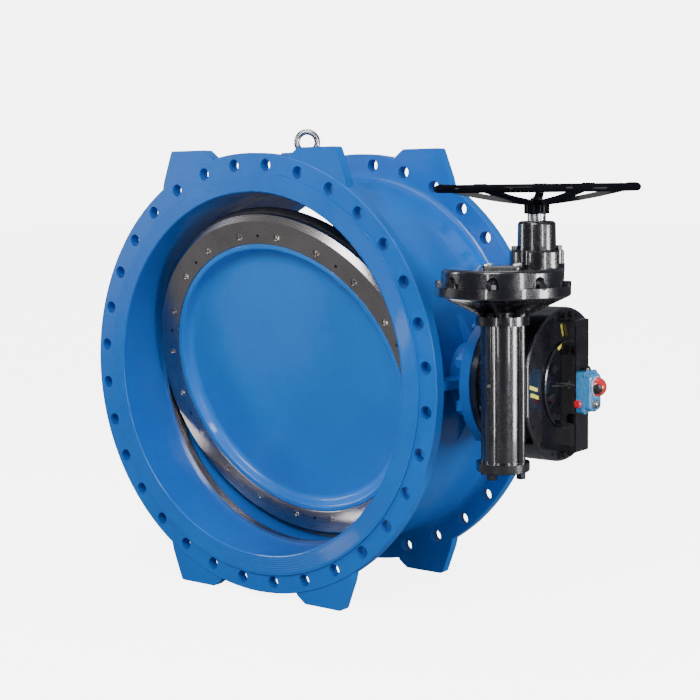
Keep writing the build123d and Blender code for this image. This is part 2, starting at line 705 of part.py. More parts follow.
# ==================================================================== casings
worm_floor = worm_base.offset(BARREL_BOTTOM)
with BuildPart() as gear_housing:
    # Drum round the worm wheel, cut flat on the side away from the worm
    with BuildSketch(shaft_fixed.offset(DRUM_START)) as drum:
        Circle(DRUM_R)
        with Locations((DRUM_FLAT + 200, 0)):
            Rectangle(400, 2 * DRUM_R, mode=Mode.INTERSECT)
        fillet(drum.vertices(), radius=10)
    extrude(amount=DRUM_END - DRUM_START)
    chamfer(gear_housing.edges().group_by(Axis.X)[0], length=7)
    # Neck down to the mounting flange
    turned(shaft_fixed, MOUNT_FACE, [(MOUNT_FLANGE_R - 4, 797), (188, DRUM_START + 2)])
    # Worm barrel with end flanges and bolt pillars
    turned(worm_base, BARREL_BOTTOM, [(80, -204), (60, 205), (80, BARREL_TOP)])
    round_pattern(worm_floor, PILLAR_CIRCLE_R, 4, 0, 13, BARREL_TOP - BARREL_BOTTOM)
    # Cavities
    with BuildSketch(shaft_fixed.offset(842)):
        Circle(CAVITY_R)
        with Locations((DRUM_FLAT + 9 + 200, 0)):
            Rectangle(400, 2 * CAVITY_R, mode=Mode.INTERSECT)
    extrude(amount=DRUM_END - 842, mode=Mode.SUBTRACT)
    turned(shaft_fixed, 800, [(112, 843)], Mode.SUBTRACT)
    turned(worm_base, BARREL_BOTTOM, [(WORM_BORE_R, BARREL_TOP)], Mode.SUBTRACT)
    turned(shaft_fixed, MOUNT_FACE, [(80, 801)], Mode.SUBTRACT)
    # Tapped holes: mounting studs, end cap, spur case and plug
    round_pattern(
        shaft_fixed.offset(MOUNT_FACE), STUD_CIRCLE_R, STUDS, EIGHTH_START, STUD_R, 25, Mode.SUBTRACT
    )
    round_pattern(worm_floor, PILLAR_CIRCLE_R, 4, 0, 8, 32, Mode.SUBTRACT)
    round_pattern(worm_base.offset(BARREL_TOP), PILLAR_CIRCLE_R, 4, 0, 8, -32, Mode.SUBTRACT)

# Cover bolts sit in the drum's wall, clear of the worm barrel
COVER_BOLT_R = 218.5
COVER_BOLT_ANGLES = [side * a for side in (1, -1) for a in (30, 50, 70, 108, 119)]
cover_spots = [
    (COVER_BOLT_R * cos(radians(a)), COVER_BOLT_R * sin(radians(a))) for a in COVER_BOLT_ANGLES
]
for_cover_bolts = shaft_fixed.offset(COVER_FACE)
with BuildPart() as gear_cover:
    with BuildSketch(shaft_fixed.offset(DRUM_END)) as cover_plate:
        Circle(DRUM_R)
        with Locations(((225 + DRUM_FLAT) / 2, 0)):
            Rectangle(225 - DRUM_FLAT, 2 * DRUM_R, mode=Mode.INTERSECT)
        fillet(cover_plate.vertices(), radius=8)
    extrude(amount=COVER_FACE - DRUM_END)
    fillet(gear_cover.edges().group_by(Axis.X)[-1], radius=9)
    with BuildSketch(shaft_fixed.offset(DRUM_END)):
        Circle(COVER_BORE_R)
    extrude(amount=COVER_FACE - DRUM_END, mode=Mode.SUBTRACT)
    with BuildSketch(for_cover_bolts):
        with Locations(*cover_spots):
            Circle(4.4)
    extrude(amount=-40, mode=Mode.SUBTRACT)
    with BuildSketch(for_cover_bolts):
        with Locations(*cover_spots):
            Circle(6.9)
    extrude(amount=-9, mode=Mode.SUBTRACT)
    # Notch that clears the worm barrel
    turned(worm_base, BARREL_BOTTOM, [(60.3, BARREL_TOP)], Mode.SUBTRACT)

with BuildPart() as gear_cover_bolts:
    # Socket screws, sunk in the cover
    with BuildSketch(for_cover_bolts.offset(-9)):
        with Locations(*cover_spots):
            Circle(6.5)
    extrude(amount=8)
    with BuildSketch(for_cover_bolts.offset(-1)):
        with Locations(*cover_spots):
            RegularPolygon(3, 6, major_radius=False)
    extrude(amount=-4, mode=Mode.SUBTRACT)
    with BuildSketch(for_cover_bolts.offset(-9)):
        with Locations(*cover_spots):
            Circle(3.9)
    extrude(amount=DRUM_END - COVER_FACE + 9)

with BuildPart() as gearbox_studs:
    round_pattern(shaft_fixed.offset(708), STUD_CIRCLE_R, STUDS, EIGHTH_START, STUD_R - 0.1, 91)

with BuildPart() as gearbox_nuts:
    with BuildSketch(shaft_fixed.offset(TRUNNION_END)):
        with PolarLocations(STUD_CIRCLE_R, STUDS, EIGHTH_START):
            RegularPolygon(23, 6, major_radius=False)
        with PolarLocations(STUD_CIRCLE_R, STUDS, EIGHTH_START):
            Circle(STUD_R, mode=Mode.SUBTRACT)
    extrude(amount=-24)

with BuildPart() as worm_end_cap:
    turned(worm_base, BARREL_BOTTOM - 14, [(80, BARREL_BOTTOM), (37.3, -207)])
    turned(worm_base, -216, [(22, -207)], Mode.SUBTRACT)
    round_pattern(worm_floor, PILLAR_CIRCLE_R, 4, 0, 8.5, -14, Mode.SUBTRACT)
    chamfer(worm_end_cap.edges().group_by(Axis.Z)[0].sort_by(SortBy.LENGTH)[-1], length=4)

with BuildPart() as worm_end_bolts:
    hex_bolts(worm_base.offset(BARREL_BOTTOM - 14), PILLAR_CIRCLE_R, 4, 0, 27, 18, 7.9, 42, out=-1)

# ------------------------------------------------------------- spur case
with BuildPart() as spur_case:
    with BuildSketch(worm_section):
        with BuildLine():
            Polyline(
                (30, BARREL_TOP),
                (80, BARREL_TOP),
                (80, 231),
                (46, 231),
                (47, 243),
                (150, 280),
                (CASE_FLANGE_R - 4, 290),
                (CASE_FLANGE_R, 294),
                (CASE_FLANGE_R, CASE_SPLIT),
                (162, CASE_SPLIT),
                (162, 296),
                (155, 296),
                (60, 256),
                (30, 252),
                close=True,
            )
        make_face()
    revolve(axis=worm_axis)
    # Radial ribs under the cone, between the bolts
    for rib in range(8):
        with BuildSketch(radial_plane(WORM_X, WORM_Y, 22.5 + 45 * rib).offset(-5)):
            with BuildLine():
                Polyline((44, 230), (76, 230), (88, 238), (194, 289), (150, 284), (48, 245), close=True)
            make_face()
        extrude(amount=10)
    round_pattern(worm_base.offset(231), PILLAR_CIRCLE_R, 4, 0, 8.5, -12, Mode.SUBTRACT)
    round_pattern(
        worm_base.offset(CASE_SPLIT), 188, 8, EIGHTH_START, 6, -12, Mode.SUBTRACT
    )

with BuildPart() as spur_case_bolts:
    hex_bolts(worm_base.offset(231), PILLAR_CIRCLE_R, 4, 0, 24, 10, 7.9, 40)

# The cover carries the input neck on an offset boss
COVER_LEDGE = 321
with BuildPart() as spur_cover:
    turned(worm_base, CASE_SPLIT, [(CASE_FLANGE_R, COVER_LEDGE), (SPUR_COVER_R, SPUR_COVER_TOP)])
    fillet(spur_cover.edges().group_by(Axis.Z)[-1], radius=11)
    turned(input_base, SPUR_COVER_TOP - 13, [(82, NECK_BASE)])
    # An arched pocket in the wall over each bolt
    round_pattern(worm_base.offset(COVER_LEDGE), 190, 8, EIGHTH_START, 21, 14, Mode.SUBTRACT)
    with Locations((WORM_X, WORM_Y, COVER_LEDGE + 14)):
        with PolarLocations(190, 8, EIGHTH_START):
            Sphere(21, mode=Mode.SUBTRACT)
    turned(worm_base, CASE_SPLIT, [(162, 361)], Mode.SUBTRACT)
    turned(input_base, 360, [(30, NECK_BASE)], Mode.SUBTRACT)
    round_pattern(worm_base.offset(COVER_LEDGE), 188, 8, EIGHTH_START, 7, -13, Mode.SUBTRACT)
    round_pattern(input_base.offset(NECK_BASE), 67, 4, 45, 6, -20, Mode.SUBTRACT)

with BuildPart() as spur_cover_bolts:
    hex_bolts(worm_base.offset(COVER_LEDGE), 188, 8, EIGHTH_START, 24, 13, 5.9, 24)

INSPECTION = worm_base.offset(SPUR_COVER_TOP).rotated((0, 0, 20))
INSPECTION_AT = (22, -109)
PLATE_T = 12
with BuildPart() as inspection_plate:
    with BuildSketch(INSPECTION):
        with Locations(INSPECTION_AT):
            RectangleRounded(112, 72, 14)
    extrude(amount=PLATE_T)
    chamfer(inspection_plate.edges().group_by(Axis.Z)[-1], length=4)
    with BuildSketch(INSPECTION.offset(PLATE_T)):
        with Locations(INSPECTION_AT):
            with GridLocations(86, 46, 2, 2):
                Circle(5.2)
    extrude(amount=-PLATE_T, mode=Mode.SUBTRACT)

with BuildPart() as inspection_screws:
    with BuildSketch(INSPECTION.offset(PLATE_T)):
        with Locations(INSPECTION_AT):
            with GridLocations(86, 46, 2, 2):
                RegularPolygon(7.5, 6, major_radius=False)
    extrude(amount=5.3)
    with BuildSketch(INSPECTION.offset(PLATE_T)):
        with Locations(INSPECTION_AT):
            with GridLocations(86, 46, 2, 2):
                Circle(5)
    extrude(amount=-PLATE_T)

NECK_FLANGE_TOP = 424
NECK_FLANGE_T = NECK_FLANGE_TOP - NECK_BASE
NECK_BOLT_R = 67
with BuildPart() as input_neck:
    with BuildSketch(input_section) as neck_profile:
        with BuildLine():
            Polyline(
                (32, NECK_BASE),
                (80, NECK_BASE),
                (80, NECK_FLANGE_TOP - 6),
                (76, NECK_FLANGE_TOP),
                (57, NECK_FLANGE_TOP),
                (57, NECK_FLANGE_TOP + 8),
                (55.5, NECK_TOP),
                (32, NECK_TOP),
                close=True,
            )
        make_face()
        shoulder = neck_profile.vertices().filter_by(lambda v: 55 < v.X < 56)
        fillet(shoulder, radius=11)
    revolve(axis=input_axis)
    # Waisted flange: scallops between the four bolts
    round_pattern(input_base.offset(NECK_BASE), 96, 4, 0, 26, NECK_FLANGE_T, Mode.SUBTRACT)
    round_pattern(input_base.offset(NECK_BASE), NECK_BOLT_R, 4, 45, 7, NECK_FLANGE_T, Mode.SUBTRACT)

with BuildPart() as input_neck_bolts:
    hex_bolts(input_base.offset(NECK_FLANGE_TOP), NECK_BOLT_R, 4, 45, 17, 12, 5.9, NECK_FLANGE_T + 19)

with BuildPart() as input_bearings:
    ring(input_base, 388, 412, 32 - FIT, 20 + FIT)
    ring(input_base, 476, 500, 32 - FIT, 20 + FIT)

with BuildPart() as input_seal:
    ring(input_base, 500.5, NECK_TOP - 0.5, 32 - FIT, 20 + FIT)

PLUG_Z = 30
plug_seat = Plane(origin=(WORM_X, WORM_Y - 75, PLUG_Z), x_dir=(1, 0, 0), z_dir=(0, -1, 0))
with BuildPart() as grease_plug:
    with BuildSketch(plug_seat):
        RegularPolygon(4.5, 6, major_radius=False)
    extrude(amount=5)

# ------------------------------------------------------- primary spur gears
RING_TIP_R = 125.8
RING_TOOTH_Z = (314, 350)
MESH_ANGLE = degrees(atan2(PINION_DY, PINION_DX))
with BuildPart() as ring_gear:
    ring(worm_base, RING_WEB[0], RING_WEB[1], 152, 22 + 0.02)
    ring(worm_base, 262, RING_WEB[0], 36, 22 + 0.02)
    with BuildSketch(worm_base.offset(RING_WEB[1])):
        Circle(152)
        Polygon(
            *gear_outline(SPUR_MODULE, RING_TEETH, 136.5, RING_TIP_R, -0.7, MESH_ANGLE),
            align=None,
            mode=Mode.SUBTRACT,
        )
    extrude(amount=RING_TOOTH_Z[1] - RING_WEB[1])
    turned(worm_base, RING_WEB[1], [(137, RING_TOOTH_Z[0])], Mode.SUBTRACT)

with BuildPart() as ring_gear_nut:
    with BuildSketch(worm_base.offset(RING_WEB[1])):
        RegularPolygon(25, 6, major_radius=False)
        Circle(16 + 0.02, mode=Mode.SUBTRACT)
    extrude(amount=17)

with BuildPart() as input_shaft:
    with BuildSketch(input_base.offset(316)):
        Polygon(*gear_outline(SPUR_MODULE, PINION_TEETH, 34.6, 23.5, 0.7, MESH_ANGLE), align=None)
    extrude(amount=31)
    turned(input_base, 347, [(20, NECK_TOP + 1), (27, HUB_BASE - 0.5), (18, HUB_TOP), (12, 580)])
    chamfer(input_shaft.edges().group_by(Axis.Z)[-1], length=1.5)

# ================================================================ handwheel
SPOKE_START = 270 + 32.4
with BuildPart() as handwheel:
    with BuildSketch(input_section):
        with BuildLine():
            Polyline(
                (18 + FIT, HUB_BASE),
                (36, HUB_BASE),
                (37, HUB_BASE + 2),
                (37, HUB_TOP + 4),
                (33, HUB_TOP + 7),
                (25, HUB_TOP + 7),
                (24, HUB_TOP),
                (18 + FIT, HUB_TOP),
                close=True,
            )
        make_face()
    revolve(axis=input_axis)
    # Dished spokes, and a pad on the rim over each
    for spoke in range(SPOKES):
        spoke_plane = radial_plane(INPUT_X, INPUT_Y, SPOKE_START + 360 / SPOKES * spoke)
        with BuildSketch(spoke_plane.offset(-11)) as spoke_side:
            with BuildLine():
                Polyline(
                    (30, 554),
                    (64, 558),
                    (124, 566),
                    (190, 578),
                    (250, 591),
                    (WHEEL_RIM_R, WHEEL_RIM_Z - 7),
                    (WHEEL_RIM_R, WHEEL_RIM_Z + 7),
                    (246, 606),
                    (184, 592),
                    (120, 580),
                    (60, 572),
                    (30, HUB_TOP + 5),
                    close=True,
                )
            make_face()
            bends = spoke_side.vertices().filter_by(lambda v: 59 < v.X < 251)
            fillet(bends, radius=60)
        extrude(amount=22)
        with BuildSketch(spoke_plane.offset(-17)):
            with BuildLine():
                Polyline(
                    (WHEEL_RIM_R - 22, WHEEL_RIM_Z + 5),
                    (WHEEL_RIM_R - 18, WHEEL_RIM_Z + 13.5),
                    (WHEEL_RIM_R + 2, WHEEL_RIM_Z + 13.5),
                    (WHEEL_RIM_R + 6, WHEEL_RIM_Z + 5),
                    close=True,
                )
            make_face()
        extrude(amount=34)
    with Locations((INPUT_X, INPUT_Y, WHEEL_RIM_Z)):
        Torus(WHEEL_RIM_R, RIM_SECTION_R)

with BuildPart() as handwheel_nut:
    with BuildSketch(input_base.offset(HUB_TOP)):
        RegularPolygon(18, 6, major_radius=False)
        Circle(12 + 0.02, mode=Mode.SUBTRACT)
    extrude(amount=12)

# ===================================================== position indication
with BuildPart() as indicator_cap:
    turned(shaft_turned, CAP_BACK, [(CAP_R, CAP_FACE)])
    chamfer(indicator_cap.edges().group_by(Axis.X)[-1], length=3)
    round_pattern(
        shaft_turned.offset(CAP_FACE), CAP_BOLT_R, 8, CAP_BOLT_START, 9, CAP_BACK - CAP_FACE, Mode.SUBTRACT
    )

with BuildPart() as indicator_cap_bolts:
    hex_bolts(shaft_turned.offset(CAP_FACE), CAP_BOLT_R, 8, CAP_BOLT_START, 30, 12.5, 8.4, 38)

with BuildPart() as switch_stem:
    turned(shaft_turned, CAP_FACE, [(13, CAP_FACE + 5), (5, BOX_FRONT + 4)])

# Bridge bracket: feet on the gear cover above and below the turning cap
BRACKET_T = 6
BRIDGE_W = 78
BRIDGE_H = 202
BRIDGE_FACE = BOX_BACK
bracket_holes = [(side_y * 22, side_z * (BRIDGE_H + 11)) for side_y in (1, -1) for side_z in (1, -1)]
with BuildPart() as switch_bracket:
    with BuildSketch(Plane.XZ.offset(-(SHAFT_Y - BRIDGE_W / 2))):
        with BuildLine():
            Polyline(
                (COVER_FACE, SHAFT_Z + BRIDGE_H + 24),
                (COVER_FACE + BRACKET_T, SHAFT_Z + BRIDGE_H + 24),
                (COVER_FACE + BRACKET_T, SHAFT_Z + BRIDGE_H),
                (BRIDGE_FACE, SHAFT_Z + BRIDGE_H),
                (BRIDGE_FACE, SHAFT_Z),
                (BRIDGE_FACE - BRACKET_T, SHAFT_Z),
                (BRIDGE_FACE - BRACKET_T, SHAFT_Z + BRIDGE_H - BRACKET_T),
                (COVER_FACE, SHAFT_Z + BRIDGE_H - BRACKET_T),
                close=True,
            )
        make_face()
    extrude(amount=-BRIDGE_W)
    outer_bend = switch_bracket.edges().filter_by(Axis.Y).sort_by_distance(
        (BRIDGE_FACE, SHAFT_Y, SHAFT_Z + BRIDGE_H)
    )[0]
    fillet(outer_bend, radius=5)
    mirror(about=Plane.XY.offset(SHAFT_Z))
    with BuildSketch(shaft_fixed.offset(BRIDGE_FACE)):
        Circle(9)
    extrude(amount=-BRACKET_T, mode=Mode.SUBTRACT)
    with BuildSketch(shaft_fixed.offset(COVER_FACE + BRACKET_T)):
        with Locations(*bracket_holes):
            Circle(5.5)
    extrude(amount=-BRACKET_T, mode=Mode.SUBTRACT)

with BuildPart() as bracket_bolts:
    with BuildSketch(shaft_fixed.offset(COVER_FACE + BRACKET_T)):
        with Locations(*bracket_holes):
            RegularPolygon(8.5, 6, major_radius=False)
    extrude(amount=7)
    with BuildSketch(shaft_fixed.offset(COVER_FACE + BRACKET_T)):
        with Locations(*bracket_holes):
            Circle(5)
    extrude(amount=-BRACKET_T)

BOX_SCREWS = [(side * (BOX_W / 2 - 8), z) for side in (1, -1) for z in (-38, 72)]
with BuildPart() as switch_box_base:
    with BuildSketch(shaft_fixed.offset(BOX_BACK)):
        with Locations((0, 17)):
            RectangleRounded(BOX_W, 126, 10)
        Circle(9, mode=Mode.SUBTRACT)
    extrude(amount=BOX_SPLIT - BOX_BACK)

with BuildPart() as switch_box_lid:
    with BuildSketch(shaft_fixed.offset(BOX_SPLIT)):
        with Locations((0, 17)):
            RectangleRounded(BOX_W - 4, 122, 12)
        with Locations(*BOX_SCREWS):
            Circle(10)
    extrude(amount=8)
    with BuildSketch(shaft_fixed.offset(BOX_SPLIT + 8)):
        with Locations((0, 17)):
            RectangleRounded(BOX_W - 10, 112, 14)
    extrude(amount=BOX_FRONT - BOX_SPLIT - 8)
    chamfer(switch_box_lid.edges().group_by(Axis.X)[-1], length=5)
    with BuildSketch(shaft_fixed.offset(BOX_SPLIT + 8)):
        with Locations(*BOX_SCREWS):
            Circle(6.5)
    extrude(amount=BOX_FRONT - BOX_SPLIT - 8, mode=Mode.SUBTRACT)
    with BuildSketch(shaft_fixed.offset(BOX_SPLIT)):
        Circle(9)
        with Locations(*BOX_SCREWS):
            Circle(3.2)
    extrude(amount=BOX_FRONT - BOX_SPLIT, mode=Mode.SUBTRACT)

with BuildPart() as switch_box_screws:
    with BuildSketch(shaft_fixed.offset(BOX_SPLIT + 8)):
        with Locations(*BOX_SCREWS):
            Circle(5)
    extrude(amount=4)
    with BuildSketch(shaft_fixed.offset(BOX_SPLIT + 8)):
        with Locations(*BOX_SCREWS):
            Circle(2.9)
    extrude(amount=-8)

DOME_R = 30
DOME_AT = BOX_FRONT + 2
with BuildPart() as indicator_dome:
    with BuildSketch(Plane(origin=(0, SHAFT_Y, SHAFT_Z), x_dir=(1, 0, 0), z_dir=(0, 0, 1))):
        with BuildLine():
            Polyline((DOME_AT + DOME_R, 0), (DOME_AT + 2, 0), (DOME_AT + 2, sqrt(DOME_R**2 - 4)))
            ThreePointArc(
                (DOME_AT + 2, sqrt(DOME_R**2 - 4)),
                (DOME_AT + DOME_R * sin(radians(45)), DOME_R * cos(radians(45))),
                (DOME_AT + DOME_R, 0),
            )
        make_face()
    revolve(axis=Axis((0, SHAFT_Y, SHAFT_Z), (1, 0, 0)))

with BuildPart() as cable_entry_plug:
    with BuildSketch(Plane.XZ.offset(-(SHAFT_Y - BOX_W / 2))):
        with Locations((BOX_BACK + 10, SHAFT_Z - 50)):
            Circle(9.5)
    extrude(amount=4)
    with BuildSketch(Plane.XZ.offset(-(SHAFT_Y - BOX_W / 2 - 4))):
        with Locations((BOX_BACK + 10, SHAFT_Z - 50)):
            Circle(12)
    extrude(amount=10)
    chamfer(cable_entry_plug.edges().group_by(Axis.Y)[0], length=2)

with BuildPart() as metal_gland_plug:
    # Plugged conduit entry low on the lid
    with BuildSketch(shaft_fixed.offset(BOX_FRONT)):
        with Locations((14, 51)):
            RegularPolygon(13, 6, major_radius=False)
    extrude(amount=8)
    with BuildSketch(shaft_fixed.offset(BOX_FRONT + 8)):
        with Locations((14, 51)):
            Circle(10.5)
    extrude(amount=8)
    chamfer(metal_gland_plug.edges().group_by(Axis.X)[-1], length=1.5)

with BuildPart() as blanking_plug:
    with BuildSketch(Plane.XY.offset(SHAFT_Z + 46)):
        with Locations((BOX_BACK + 10, SHAFT_Y + 8)):
            RegularPolygon(7, 6, major_radius=False)
    extrude(amount=8)

# ==================================================================== export
PIECES = {
    "valve_body": valve_body,
    "body_seat_ring": body_seat_ring,
    "drive_bush": drive_bush,
    "idle_bush": idle_bush,
    "thrust_washers": thrust_washers,
    "gland_bush": gland_bush,
    "shaft_o_rings": shaft_o_rings,
    "end_cover_gasket": end_cover_gasket,
    "end_cover": end_cover,
    "end_cover_bolts": end_cover_bolts,
    "lifting_eyebolt": lifting_eyebolt,
    "gearbox_studs": gearbox_studs,
    "gearbox_nuts": gearbox_nuts,
    "gear_housing": gear_housing,
    "gear_cover": gear_cover,
    "gear_cover_bolts": gear_cover_bolts,
    "wheel_bushes": wheel_bushes,
    "worm_bearings": worm_bearings,
    "stop_guide_sleeve": stop_guide_sleeve,
    "worm_end_cap": worm_end_cap,
    "worm_end_bolts": worm_end_bolts,
    "spur_case": spur_case,
    "spur_case_bolts": spur_case_bolts,
    "spur_cover": spur_cover,
    "spur_cover_bolts": spur_cover_bolts,
    "inspection_plate": inspection_plate,
    "inspection_screws": inspection_screws,
    "input_neck": input_neck,
    "input_neck_bolts": input_neck_bolts,
    "input_bearings": input_bearings,
    "input_seal": input_seal,
    "grease_plug": grease_plug,
    "switch_bracket": switch_bracket,
    "bracket_bolts": bracket_bolts,
    "switch_box_base": switch_box_base,
    "switch_box_lid": switch_box_lid,
    "switch_box_screws": switch_box_screws,
    "cable_entry_plug": cable_entry_plug,
    "metal_gland_plug": metal_gland_plug,
    "blanking_plug": blanking_plug,
    "disc": disc,
    "disc_seal": disc_seal,
    "seal_retaining_ring": seal_retaining_ring,
    "retaining_screws": retaining_screws,
    "drive_shaft": drive_shaft,
    "idle_shaft": idle_shaft,
    "disc_pins": disc_pins,
    "wheel_key": wheel_key,
    "worm_wheel": worm_wheel,
    "indicator_cap": indicator_cap,
    "indicator_cap_bolts": indicator_cap_bolts,
    "switch_stem": switch_stem,
    "indicator_dome": indicator_dome,
    "worm_shaft": worm_shaft,
    "ring_gear": ring_gear,
    "ring_gear_nut": ring_gear_nut,
    "input_shaft": input_shaft,
    "handwheel": handwheel,
    "handwheel_nut": handwheel_nut,
    "travelling_nut": travelling_nut,
}
for label, piece in PIECES.items():
    piece.part.label = label
    export_step(piece.part, f"parts/{label}.step")
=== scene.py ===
import math

import bmesh
import bpy
from mathutils import Matrix, Vector


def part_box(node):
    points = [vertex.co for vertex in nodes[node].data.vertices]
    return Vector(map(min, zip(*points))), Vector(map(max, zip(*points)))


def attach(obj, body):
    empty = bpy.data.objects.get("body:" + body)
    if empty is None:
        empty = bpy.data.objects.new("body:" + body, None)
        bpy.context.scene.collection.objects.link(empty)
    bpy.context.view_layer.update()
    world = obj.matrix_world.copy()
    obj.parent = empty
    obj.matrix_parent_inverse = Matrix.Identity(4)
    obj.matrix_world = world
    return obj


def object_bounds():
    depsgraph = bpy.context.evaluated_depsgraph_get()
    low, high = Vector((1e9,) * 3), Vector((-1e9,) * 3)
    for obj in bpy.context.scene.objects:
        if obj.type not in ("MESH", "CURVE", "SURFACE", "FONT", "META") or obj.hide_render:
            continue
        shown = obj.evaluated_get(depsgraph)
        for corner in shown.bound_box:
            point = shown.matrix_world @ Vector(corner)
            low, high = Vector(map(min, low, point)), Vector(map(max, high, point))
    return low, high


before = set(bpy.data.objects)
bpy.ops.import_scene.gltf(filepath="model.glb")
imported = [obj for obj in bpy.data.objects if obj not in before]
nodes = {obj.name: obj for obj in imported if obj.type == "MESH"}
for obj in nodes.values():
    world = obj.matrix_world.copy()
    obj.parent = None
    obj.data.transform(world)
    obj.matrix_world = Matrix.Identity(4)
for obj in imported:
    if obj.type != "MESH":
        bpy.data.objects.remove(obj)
cad_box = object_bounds()

# The valve's own reference figures, in metres
SHAFT_Y = 0.315
SHAFT_Z = 0.005
COVER_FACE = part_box("gear_cover")[1].x
CAP_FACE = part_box("indicator_cap")[1].x
BEACON_R = 0.030

# Gasket grooving of the raised faces: ring ridges between the bore and the bolts
RIDGES = 7
FIRST_RIDGE_R = 0.6125
RIDGE_PITCH = 0.0068
RIDGE_HALF_WIDTH = 0.0016
RIDGE_HEIGHT = 0.0005
RIDGE_ROOT = 0.0002

# Points on the outline of one brush stroke
STROKE_POINTS = 24

# The studio: strength of the sky that lights the valve and of the white that only the camera sees
AMBIENT = 0.6
BACKDROP = 6.0
CENTRE = (0.25, 0.3, 0.0)
FLOOR_HALF_WIDTH = 40.0
FLOOR_GAP = 0.001

# The camera
STAND = (3.2612, -3.7301, 0.6221)
AZIMUTH, ELEVATION, ROLL = math.radians(37.44), math.radians(6.25), math.radians(-0.76)
SENSOR_MM = 36
LENS_MM = 77.9143


# ---------------------------------------------------------------- shader nodes
class Graph:
    """A small wrapper that adds and joins shader nodes."""

    def __init__(self, name):
        self.material = bpy.data.materials.new(name)
        self.material.use_nodes = True
        self.tree = self.material.node_tree
        self.tree.nodes.clear()
        self.out = self.tree.nodes.new("ShaderNodeOutputMaterial")
        self.bsdf = self.tree.nodes.new("ShaderNodeBsdfPrincipled")
        self.join(self.bsdf.outputs[0], self.out.inputs[0])
        self.coordinates = self.add("ShaderNodeTexCoord").outputs["Object"]

    def add(self, kind, **values):
        node = self.tree.nodes.new(kind)
        for key, value in values.items():
            setattr(node, key, value)
        return node

    def join(self, source, target):
        self.tree.links.new(source, target)

    def noise(self, scale, detail=4.0, rough=0.55, stretch=None):
        node = self.add("ShaderNodeTexNoise")
        node.inputs["Scale"].default_value = scale
        node.inputs["Detail"].default_value = detail
        node.inputs["Roughness"].default_value = rough
        if stretch:
            mapping = self.add("ShaderNodeMapping")
            mapping.inputs["Scale"].default_value = stretch
            self.join(self.coordinates, mapping.inputs["Vector"])
            self.join(mapping.outputs[0], node.inputs["Vector"])
        else:
            self.join(self.coordinates, node.inputs["Vector"])
        return node.outputs["Fac"]

    def ramp(self, source, stops):
        node = self.add("ShaderNodeValToRGB")
        elements = node.color_ramp.elements
        while len(elements) > 1:
            elements.remove(elements[-1])
        for index, (position, colour) in enumerate(stops):
            element = elements[0] if index == 0 else elements.new(position)
            element.position = position
            element.color = (*colour, 1.0)
        self.join(source, node.inputs[0])
        return node.outputs[0]

    def spread(self, source, low, high):
        """Stretches the middle of a noise, 0.3 to 0.7, over low to high."""
        node = self.add("ShaderNodeMapRange")
        node.inputs["From Min"].default_value = 0.3
        node.inputs["From Max"].default_value = 0.7
        node.inputs["To Min"].default_value = low
        node.inputs["To Max"].default_value = high
        self.join(source, node.inputs["Value"])
        return node.outputs[0]

    def math(self, operation, first, second=None):
        node = self.add("ShaderNodeMath", operation=operation)
        for index, value in enumerate((first, second)):
            if value is None:
                continue
            if isinstance(value, (int, float)):
                node.inputs[index].default_value = value
            else:
                self.join(value, node.inputs[index])
        return node.outputs[0]

    def bump(self, height, strength, distance, below=None):
        node = self.add("ShaderNodeBump")
        node.inputs["Strength"].default_value = strength
        node.inputs["Distance"].default_value = distance
        self.join(height, node.inputs["Height"])
        if below is not None:
            self.join(below, node.inputs["Normal"])
        return node.outputs[0]

    def radius_about_pipe(self):
        """Distance of a point from the pipe axis."""
        parts = self.add("ShaderNodeSeparateXYZ")
        self.join(self.coordinates, parts.inputs[0])
        x2 = self.math("MULTIPLY", parts.outputs[0], parts.outputs[0])
        z2 = self.math("MULTIPLY", parts.outputs[2], parts.outputs[2])
        return self.math("SQRT", self.math("ADD", x2, z2))

    def done(self, normal, **values):
        """Joins the normal and sets each named Principled socket, to a number or a node's output."""
        self.join(normal, self.bsdf.inputs["Normal"])
        for key, value in values.items():
            socket = self.bsdf.inputs[key.replace("_", " ")]
            if hasattr(value, "links"):
                self.join(value, socket)
            else:
                socket.default_value = value
        return self.material


# ------------------------------------------------------------------ materials
def epoxy(name, dark, light, peel, cast, rough, coat):
    """Fusion-bonded epoxy: a thick satin coat over cast iron, with slight orange peel."""
    g = Graph(name)
    cloud = g.noise(3.1, 3.0)
    fine = g.noise(34.0, 5.0, 0.6)
    shade = g.math("ADD", g.math("MULTIPLY", cloud, 0.7), g.math("MULTIPLY", fine, 0.3))
    colour = g.ramp(shade, [(0.32, dark), (0.68, light)])
    roughness = g.spread(g.noise(11.0, 4.0), rough - 0.05, rough + 0.07)
    casting = g.bump(g.noise(150.0, 4.0, 0.65), cast, 0.0012)
    skin = g.bump(g.noise(520.0, 2.0, 0.5), peel, 0.0004, casting)
    return g.done(
        skin,
        Base_Color=colour,
        Roughness=roughness,
        Specular_IOR_Level=0.35,
        Coat_Weight=coat,
        Coat_Roughness=0.06,
    )


def enamel(name, base, sheen, cast, rough, specular=0.55, coat=0.9):
    """Black enamel brushed over cast iron; cast is the strength of the casting's grain."""
    g = Graph(name)
    cloud = g.noise(9.0, 4.0)
    colour = g.ramp(cloud, [(0.3, base), (0.75, sheen)])
    roughness = g.spread(g.noise(26.0, 5.0, 0.6), rough - 0.06, rough + 0.13)
    grain = g.bump(g.noise(210.0, 5.0, 0.7), cast, 0.0016)
    runs = g.bump(g.noise(30.0, 2.0, 0.5, stretch=(1.0, 1.0, 0.35)), 0.16, 0.004, grain)
    return g.done(
        runs,
        Base_Color=colour,
        Roughness=roughness,
        Specular_IOR_Level=specular,
        Coat_Weight=coat,
        Coat_Roughness=0.05,
    )


